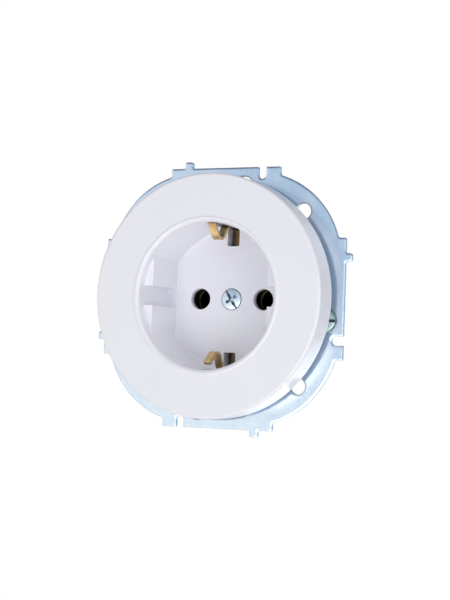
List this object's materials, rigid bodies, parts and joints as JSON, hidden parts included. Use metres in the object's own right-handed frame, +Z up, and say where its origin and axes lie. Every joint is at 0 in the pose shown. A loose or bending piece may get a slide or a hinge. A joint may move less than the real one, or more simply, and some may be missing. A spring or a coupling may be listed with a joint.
{
  "type": "type f wall socket",
  "caption": "Flush-mounted earthed wall socket insert: round recessed cover with side earth clips, square-cornered steel support ring, moulded base and spreading claws.",
  "frame": {"origin": "centre of the support ring on its back face, which lies on the wall", "axes": "+X to the right as seen from the room, +Y into the wall, +Z up; the plug recess opens towards -Y"},
  "size_m": [0.0746, 0.0413, 0.0746],
  "materials": {
    "cover_plastic": "glossy white thermoplastic",
    "base_plastic": "dark moulded thermoset",
    "ring_zinc": "blue passivated zinc plate, satin",
    "screw_zinc": "bright zinc plate",
    "screw_passivated": "pale yellow passivated zinc plate",
    "claw_steel": "zinc-plated stamped steel",
    "rivet_steel": "plated steel",
    "spring_steel": "spring steel",
    "clip_brass": "bright rolled brass strip",
    "contact_brass": "rolled brass strip",
    "terminal_brass": "turned brass"
  },
  "bodies": {
    "base": {"centre_cover": "cover_plastic", "cover_screw": "screw_zinc", "support_ring": "ring_zinc", "socket_base_front": "base_plastic", "socket_base_rear": "base_plastic", "earth_strap": "clip_brass", "line_contact": "contact_brass", "neutral_contact": "contact_brass", "line_contact_spring": "spring_steel", "neutral_contact_spring": "spring_steel", "line_terminal": "terminal_brass", "neutral_terminal": "terminal_brass", "earth_terminal": "terminal_brass", "terminal_screws": "screw_zinc", "ring_rivets": "rivet_steel", "assembly_rivets": "rivet_steel", "strap_rivets": "rivet_steel"},
    "right_screw": {"claw_screw_right": "screw_passivated", "claw_clip_right": "spring_steel"},
    "left_screw": {"claw_screw_left": "screw_passivated", "claw_clip_left": "spring_steel"},
    "right_claw": {"claw_right": "claw_steel"},
    "left_claw": {"claw_left": "claw_steel"}
  },
  "joints": [
    {"name": "right_screw_turn", "type": "hinge", "parent": "base", "child": "right_screw", "pos_m": [0.03016, -0.0011, -0.00575], "axis": [-0.342, 0.9397, 0], "range_deg": [0, 6301]},
    {"name": "right_claw_draw", "type": "slide", "parent": "base", "child": "right_claw", "axis": [0.342, -0.9397, 0], "range_m": [0, 0.0105]},
    {"name": "left_screw_turn", "type": "hinge", "parent": "base", "child": "left_screw", "pos_m": [-0.03016, -0.0011, 0.00575], "axis": [0.342, 0.9397, 0], "range_deg": [0, 6301]},
    {"name": "left_claw_draw", "type": "slide", "parent": "base", "child": "left_claw", "axis": [-0.342, -0.9397, 0], "range_m": [0, 0.0105]}
  ],
  "couplings": [
    {"joint": "right_screw_turn", "follows": "right_claw_draw", "rad_per_m": 10472},
    {"joint": "left_screw_turn", "follows": "left_claw_draw", "rad_per_m": 10472}
  ]
}
